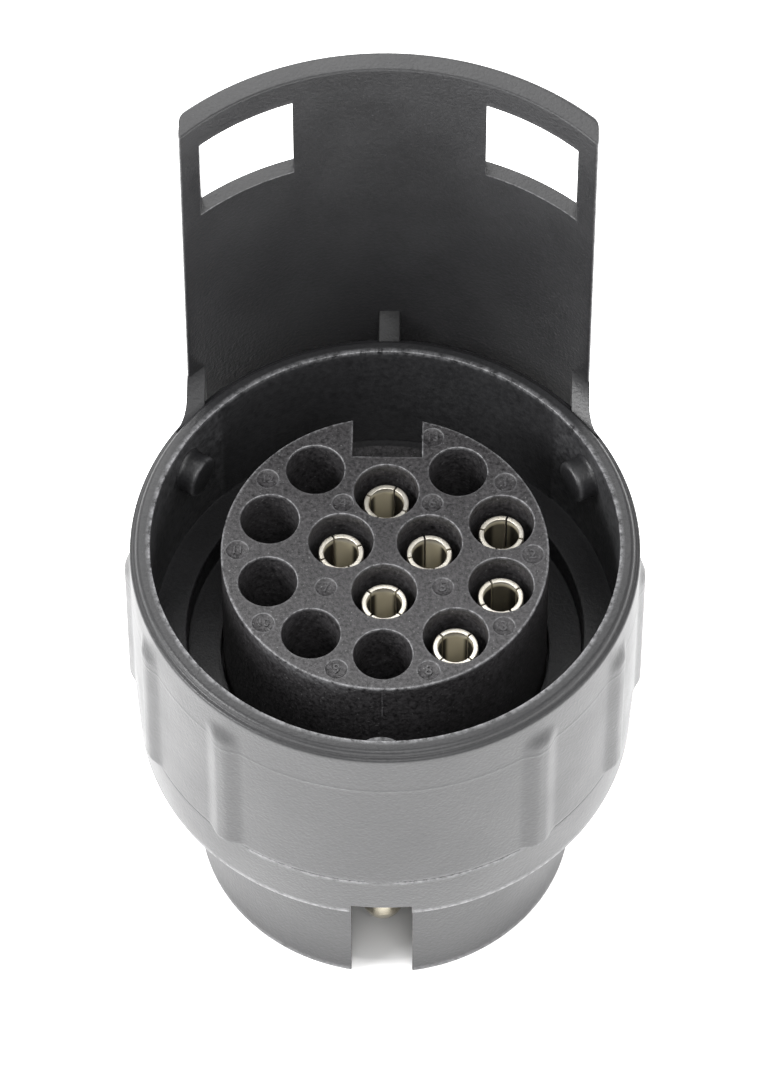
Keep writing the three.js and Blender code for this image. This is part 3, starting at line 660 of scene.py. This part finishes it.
def sunken(x, y, profile, count, wearAndPaintedLight):
    # a hole: a profile of radius and depth turned round the hole's own axis, from the face down; its edge is
    # worn all round and carries a painted highlight arc, brightest on the rear right
    a = (2 * math.pi * np.arange(count) / count)[:, None]
    r, z = profile[None, :, 0], profile[None, :, 1]
    points = np.stack([x + r * np.cos(a), y + r * np.sin(a), z + 0 * a], -1)
    # painted highlight: the edge is paler on an arc towards the rear right
    far = 0.3 + 0.7 * smoothStep(0.5 + np.cos(a - insert["paintedHighlightTurn"]))
    return points, quads(count, len(profile), True), (far * np.asarray(wearAndPaintedLight)).ravel()


def insertEdge(inset):
    # the insert's outline in plan: a circle with the key notch cut into its rear
    i = insert
    radius = i["radius"] - inset
    half = i["notchHalf"] + inset
    gap = math.degrees(math.asin(half / radius))
    a = np.radians(np.sort(np.append(np.linspace(-180 + gap, 180 - gap, 240), (-0.3, 0, 0.3))))
    arc = np.stack([radius * np.sin(a), -radius * np.cos(a)], -1)
    back = i["notchBack"] - inset
    side = np.linspace(arc[-1, 1], back, 8)[1:, None]
    floor = np.linspace(half, -half, 12)[1:, None]
    right = np.concatenate([half + 0 * side, side], 1)
    rear = np.concatenate([floor, back + 0 * floor], 1)
    left = np.concatenate([-half + 0 * side, side[::-1]], 1)[1:]
    return np.concatenate([arc, right, rear, left])


def insertCuts():
    # centre and radius of every round opening in the face
    holes = [(x, y, insert["fitted"] if number in fittedNumbers else insert["empty"])
             for number, (x, y) in contactAt.items()]
    return [(x, y, r + insert["holeChamfer"]) for x, y, r in holes] + \
        [(*markerAt[number], markerRadius(number) + insert["markerChamfer"]) for number in markerAt]


def insertFace():
    # the flat face between the outline, the holes and the markers: a lattice of points joined by triangles
    # that keep every edge; wear is 1 on the edges and fades within the face
    i = insert
    cuts = insertCuts()
    loops = [insertEdge(i["chamfer"])] + [circleRing(x, y, r, 72 if r > 2 else 36) for x, y, r in cuts]
    step = i["lattice"]
    grid = np.arange(-i["radius"], i["radius"], step)
    x, y = np.meshgrid(grid, grid)
    lattice = np.stack([x + (np.arange(len(grid)) % 2)[:, None] * step / 2, y], -1).reshape(-1, 2)
    rings = [circleRing(cx, cy, r + 0.13, 72 if r > 2 else 36) for cx, cy, r in cuts]
    lattice = np.concatenate([lattice] + rings)
    lattice = np.concatenate([lattice, insertEdge(i["chamfer"] + 0.13)])
    gap = edgeGap(lattice, cuts)
    lattice = lattice[gap > 0.1]
    edges, start = [], 0
    for loop in loops:
        n = len(loop)
        edges += [(start + k, start + (k + 1) % n) for k in range(n)]
        start += n
    flat = np.concatenate(loops + [lattice])
    result = delaunay_2d_cdt([Vector(p) for p in flat.tolist()], edges, [], 0, 1e-5)
    points = np.array([(v.x, v.y, 0) for v in result[0]])
    faces = np.array(result[2])
    middle = points[faces].mean(1)
    faces = faces[edgeGap(middle[:, :2], cuts) > 0]
    corner = points[faces]
    up = np.cross(corner[:, 1] - corner[:, 0], corner[:, 2] - corner[:, 0])[:, 2] > 0
    faces = np.where(up[:, None], faces, faces[:, ::-1])
    rim = np.hypot(points[:, 0], points[:, 1]) > i["radius"] - i["chamfer"] - 0.05
    wearAndPaintedLight = np.where(rim, 0.8, 0.25) * np.exp(-(np.maximum(edgeGap(points[:, :2], cuts), 0) / 0.1) ** 2)
    return points, faces, wearAndPaintedLight


def edgeGap(p, cuts):
    # distance into the face from its nearest edge, below 0 off the face
    i = insert
    gap = i["radius"] - i["chamfer"] - np.hypot(p[:, 0], p[:, 1])
    beside = np.abs(p[:, 0]) - i["notchHalf"] - i["chamfer"]
    notch = np.maximum(beside, i["notchBack"] - i["chamfer"] - p[:, 1])
    gap = np.minimum(gap, notch)
    for x, y, r in cuts:
        gap = np.minimum(gap, np.hypot(p[:, 0] - x, p[:, 1] - y) - r)
    return gap


def markerRadius(number):
    return insert["innerMarker"] if number in (4, 5, 6, 7) else insert["marker"]


def insertSide():
    # outline bands from the face down: chamfer, side wall, and the notch's own floor
    i = insert
    levels = [(i["chamfer"], 0.0, 0.8), (i["chamfer"] * 0.35, -0.04, 1.0), (0.0, -0.14, 0.7), (0.0, -0.4, 0.1),
              (0.0, -0.7, 0.0)]
    levels += [(0.0, z, 0.0) for z in np.linspace(-1, i["notchFloor"], 8)]
    rows = [np.concatenate([insertEdge(inset), np.full((len(insertEdge(inset)), 1), z)], 1)
            for inset, z, _ in levels]
    points = np.stack(rows, 1)
    parting = 0.5 * (np.abs(insertEdge(0)[:, 0]) < 0.03) * (insertEdge(0)[:, 1] < 0)
    azimuth = np.degrees(np.arctan2(insertEdge(0)[:, 0], -insertEdge(0)[:, 1]))
    scuffed = 0.5 * smoothStep((azimuth + 60) / 15) * smoothStep((-5 - azimuth) / 15)
    depth = np.array([z for _, z, _ in levels])
    scuffed = scuffed[:, None] * smoothStep((depth + 2.2) / 1.8)[None]
    wearAndPaintedLight = np.maximum(np.array([w for *_, w in levels])[None], np.maximum(parting[:, None], scuffed))
    return points, quads(*points.shape[:2], True)[:, ::-1], wearAndPaintedLight.ravel()


def insertBody():
    # the full round below the notch down to the base, and the notch's floor as a flat segment
    i = insert
    outline = np.array([(i["radius"], i["notchFloor"]), (i["radius"], i["base"]), (0.01, i["base"])])
    azimuths = np.linspace(-math.pi, math.pi, 240, endpoint=False)
    points = carried(outline[::-1], azimuths)
    x = np.linspace(-i["notchHalf"], i["notchHalf"], 24)[:, None]
    t = np.linspace(0, 1, 6)[None]
    y = i["notchBack"] + (np.sqrt(i["radius"] ** 2 - x ** 2) - i["notchBack"]) * t
    floor = np.stack([x + 0 * t, y, i["notchFloor"] + 0 * y], -1)
    return [(points, quads(*points.shape[:2], True), 0.0), (floor, quads(24, 6), 0.0)]


def insertHoles():
    parts = []
    i = insert
    for number, (x, y) in contactAt.items():
        radius = i["fitted"] if number in fittedNumbers else i["empty"]
        draft = [(radius - 0.01 * k, z) for k, z in enumerate(np.linspace(-2, -16.8, 8))]
        profile = np.array([(radius + i["holeChamfer"], 0), (radius + 0.03, -0.03), (radius, -0.1),
                            (radius, -0.5), *draft,
                            (radius - 0.3, i["holeFloor"]), (0.01, i["holeFloor"])])
        wearAndPaintedLight = np.zeros(len(profile))
        wearAndPaintedLight[:4] = (0.9, 1.0, 0.5, 0)
        parts.append(sunken(x, y, profile, 72, wearAndPaintedLight))
    for number, (x, y) in markerAt.items():
        depth, radius = -i["markerDepth"], markerRadius(number)
        profile = np.array([(radius + i["markerChamfer"], 0), (radius, -0.03), (radius - 0.03, depth + 0.03),
                            (radius - 0.08, depth), (0.01, depth)])
        parts.append(sunken(x, y, profile, 36, np.array([0.7, 0.5, 0, 0, 0])))
    return parts


makePiece("insert_block", [insertFace(), insertSide(), *insertBody(), *insertHoles()], insertPlastic,
          ["socket_insert"], 50)


def numeral(number):
    # one raised plain numeral in its marker, turned to a mesh before it is placed
    text = bpy.data.curves.new("numeral", "FONT")
    text.body = str(number)
    text.align_x, text.align_y = "CENTER", "CENTER"
    text.size = (1.75 if number < 10 else 1.4) * mm
    text.extrude = 0.05 * mm
    text.bevel_depth = 0.02 * mm
    text.resolution_u = 3
    carrier = bpy.data.objects.new("numeral", text)
    bpy.context.scene.collection.objects.link(carrier)
    bpy.context.view_layer.update()
    mesh = bpy.data.meshes.new_from_object(carrier)
    bpy.data.objects.remove(carrier)
    x, y = markerAt[number]
    mesh.transform(Matrix.Translation((x * mm, y * mm, (-insert["markerDepth"] + 0.06) * mm)))
    return mesh


def numeralPiece():
    parts = []
    for number in range(1, 14):
        mesh = numeral(number)
        co = np.empty(len(mesh.vertices) * 3)
        mesh.vertices.foreach_get("co", co)
        parts.append((co.reshape(-1, 3) / mm, [list(p.vertices) for p in mesh.polygons], 0.15))
        bpy.data.meshes.remove(mesh)
    return parts


makePiece("contact_numerals", numeralPiece(), insertPlastic, ["socket_insert"], 30)
print("insert made")


# contacts and pins

contact = dict(top=-2.3, radius=2.5, wall=0.56, bore=13.0, shank=-20.5, slitHalf=0.11, slitDepth=9.0,
               slitTurn={1: -15, 2: 30, 3: 47, 4: 64, 5: 50, 6: 15, 7: 25},
               band={1: 0.2, 2: 0.1, 3: 1.0, 4: 0.9, 5: 1.0, 6: 1.0, 7: 1.0},
               bandAt={1: 90, 2: 90, 3: 90, 4: 103, 5: 90, 6: 80, 7: 80})


def contactTube(number):
    # four leaves round the bore, each a closed outline of radius and height carried over its own angle, then
    # the whole shank below the slits; the bore is painted dark as painted shade, with a painted khaki
    # reflection band at its rear
    c = contact
    x, y = contactAt[number]
    inner = c["radius"] - c["wall"]
    leaf = roundedOutline([(inner, c["top"] - c["slitDepth"], 0), (c["radius"], c["top"] - c["slitDepth"], 0),
                           (c["radius"], c["top"], 0.12), (inner, c["top"], 0.08)], 0.9, arcStep=22)
    parts = []
    for quarter in range(4):
        middle = math.radians(c["slitTurn"][number] + 45 + 90 * quarter)
        r, z = leaf[None, :, 0], leaf[None, :, 1]
        span = math.pi / 4 - np.arcsin(c["slitHalf"] / r)
        t = np.linspace(-1, 1, 25)[:, None]
        a = middle + t * span
        points = np.stack([x + r * np.cos(a), y + r * np.sin(a), z + 0 * a], -1)
        rows, columns = points.shape[:2]
        caps = [list(range(columns))[::-1], [(rows - 1) * columns + k for k in range(columns)]]
        # painted shade inside the bore, eased to a painted khaki reflection band at each contact's own angle
        inside = (r < inner + 0.05) & (z < c["top"] - 0.15) & (np.sin(a) > -0.35)
        fromPaintedSheen = np.abs((np.degrees(a) - c["bandAt"][number] + 180) % 360 - 180)
        boreShadeAndSheen = inside * (1 - 0.5 * c["band"][number] * smoothStep((38 - fromPaintedSheen) / 16))
        parts.append((points, quads(rows, columns, False, True).tolist() + caps, boreShadeAndSheen.ravel()))
    low = c["top"] - c["slitDepth"]
    shank = np.array([(0.02, c["top"] - c["bore"]), (0.02, c["shank"]), (c["radius"], c["shank"]),
                      (c["radius"], low), (inner, low), (inner, c["top"] - c["bore"])])
    a = np.linspace(0, 2 * math.pi, 64, endpoint=False)[:, None]
    points = np.stack([x + shank[None, :, 0] * np.cos(a), y + shank[None, :, 0] * np.sin(a),
                       shank[None, :, 1] + 0 * a], -1)
    parts.append((points, quads(64, len(shank), True, True), 0.3))
    return parts


for number in fittedNumbers:
    makePiece(f"contact_tube_{number}", contactTube(number), contactBrass,
              [f"socket_contact_{number}"], 40)

pin = dict(radius=2.5, slitHalf=0.3, slitDepth=7.0)


def pinShaft(number):
    # a round pin: outline of radius and height turned round the pin's axis, domed at its tip
    low, high = nodeBox(f"plug_pin_{number}")
    x, y = (low[:2] + high[:2]) / 2
    tip = low[2]
    corners = [(0.02, tip, 0), (pin["radius"] - 0.5, tip, 1.3), (pin["radius"], tip + 1.9, 1.2),
               (pin["radius"], plug["face"] - 0.6, 0.2), (pin["radius"] - 0.15, plug["face"] - 0.4, 0.1),
               (pin["radius"] - 0.15, high[2], 0), (0.02, high[2], 0)]
    outline = roundedOutline(corners, 0.8, closed=False)
    a = np.linspace(0, 2 * math.pi, 64, endpoint=False)[:, None]
    points = np.stack([x + outline[None, :, 0] * np.cos(a), y + outline[None, :, 0] * np.sin(a),
                       outline[None, :, 1] + 0 * a], -1)
    return points, quads(64, len(outline), True), 0.0


for number in fittedNumbers:
    shaft = makePiece(f"pin_shaft_{number}", [pinShaft(number)], pinBrass,
                      [f"plug_pin_{number}"], 40)
    low, high = nodeBox(f"plug_pin_{number}")
    x, y = (low[:2] + high[:2]) / 2
    slit = roundedOutline([(x - 4, y - pin["slitHalf"], 0), (x + 4, y - pin["slitHalf"], 0),
                           (x + 4, y + pin["slitHalf"], 0), (x - 4, y + pin["slitHalf"], 0)], 9)
    cutAway(shaft, [prismPart(slit, low[2] - 1, low[2] + pin["slitDepth"], axis=2)])
print("contacts and pins made")


# CAD nodes that stay, with their own finishes

wireColors = {1: (0.70, 0.50, 0.03), 2: (0.03, 0.09, 0.40), 3: (0.75, 0.75, 0.72), 4: (0.04, 0.28, 0.07),
              5: (0.16, 0.07, 0.03), 6: (0.45, 0.03, 0.02), 7: (0.02, 0.02, 0.02)}


def dress(node, material):
    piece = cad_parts[node]
    piece.data.materials.clear()
    piece.data.materials.append(material)


for node, material in (("contact_retainer", retainerPlastic), ("pin_retainer", retainerPlastic),
                       ("pin_carrier", insertPlastic), ("body_seal", sealRubber)):
    dress(node, material)
for number, color in wireColors.items():
    dress(f"jumper_wire_{number}", softPlastic(f"wireSkin{number}", color, 0.45))
for number in range(1, 5):
    dress(f"housing_screw_{number}", screwSteel)
print("inner parts dressed")


# floor, light and camera

stage = dict(size=3.0, floorColor=(0.9, 0.9, 0.9), glow=1.8, world=0.75, paintedShadowCore=0.0192,
             paintedShadowFade=0.0262)


def makeFloor():
    low = cadBox[0]
    half = stage["size"] / 2
    mesh = bpy.data.meshes.new("floor")
    z = low[2]
    corners = [(-half, -half, z), (half, -half, z), (half, half, z), (-half, half, z)]
    mesh.from_pydata(corners, [], [(0, 1, 2, 3)])
    floor = bpy.data.objects.new("floor", mesh)
    bpy.context.scene.collection.objects.link(floor)
    material, tree, shader = newMaterial("paleFloor")
    shader.inputs["Base Color"].default_value = (*stage["floorColor"], 1)
    shader.inputs["Roughness"].default_value = 0.6
    shader.inputs["Emission Color"].default_value = (1, 1, 1, 1)
    place = addNode(tree, "ShaderNodeTexCoord").outputs["Object"]
    flat = addNode(tree, "ShaderNodeVectorMath", operation="MULTIPLY")
    flat.inputs[1].default_value = (1, 1, 0)
    tree.links.new(place, flat.inputs[0])
    away = addNode(tree, "ShaderNodeVectorMath", operation="LENGTH")
    tree.links.new(flat.outputs[0], away.inputs[0])
    # painted shadow: the floor's glow is off inside the sleeve's foot and rises outwards, standing in for the
    # sleeve's shadow
    glow = ramp(tree, away.outputs["Value"], stage["paintedShadowCore"], stage["paintedShadowFade"], 0, stage["glow"])
    tree.links.new(glow, shader.inputs["Emission Strength"])
    mesh.materials.append(material)


def softLight(name, place, target, size, power):
    data = bpy.data.lights.new(name, "AREA")
    data.shape, data.size, data.energy = "DISK", size, power
    lamp = bpy.data.objects.new(name, data)
    lamp.location = place
    lamp.rotation_euler = (Vector(target) - Vector(place)).to_track_quat("-Z", "Y").to_euler()
    bpy.context.scene.collection.objects.link(lamp)


def makeWorld():
    world = bpy.data.worlds.new("softRoom")
    world.use_nodes = True
    background = world.node_tree.nodes["Background"]
    background.inputs["Color"].default_value = (1, 1, 1, 1)
    background.inputs["Strength"].default_value = stage["world"]
    bpy.context.scene.world = world


view = dict(lens=243.9, distance=800.0, azimuth=1.0, elevation=55.8, aside=-0.16, above=-0.28)


def makeCamera():
    # looks along one fixed direction; the aside and above values slide it in its own picture plane
    a, e = math.radians(view["azimuth"]), math.radians(view["elevation"])
    back = Vector((math.sin(a) * math.cos(e), -math.cos(a) * math.cos(e), math.sin(e)))
    right = Vector((math.cos(a), math.sin(a), 0))
    up = back.cross(right)
    target = Vector((0, 0, collar["rim"]))
    data = bpy.data.cameras.new("camera")
    data.lens, data.sensor_width = view["lens"], 36
    data.clip_start, data.clip_end = 0.05, 10
    camera = bpy.data.objects.new("camera", data)
    camera.location = (target + back * view["distance"] - right * view["aside"] - up * view["above"]) * mm
    camera.rotation_euler = (-back).to_track_quat("-Z", "Y").to_euler()
    bpy.context.scene.collection.objects.link(camera)
    bpy.context.scene.camera = camera


makeFloor()
makeWorld()
softLight("leftLight", (-0.75, -0.25, 0.5), (0, 0, 0), 0.5, 8)
softLight("rightLight", (0.8, -0.15, 0.45), (0, 0, 0), 0.5, 2)
softLight("backLight", (-0.15, 0.7, 0.75), (0, 0, 0), 0.9, 6.5)
softLight("frontLight", (0.1, -0.55, 0.95), (0, 0, 0), 0.6, 5)
makeCamera()
bpy.context.scene.view_settings.view_transform = "Standard"
print("floor, light and camera made")
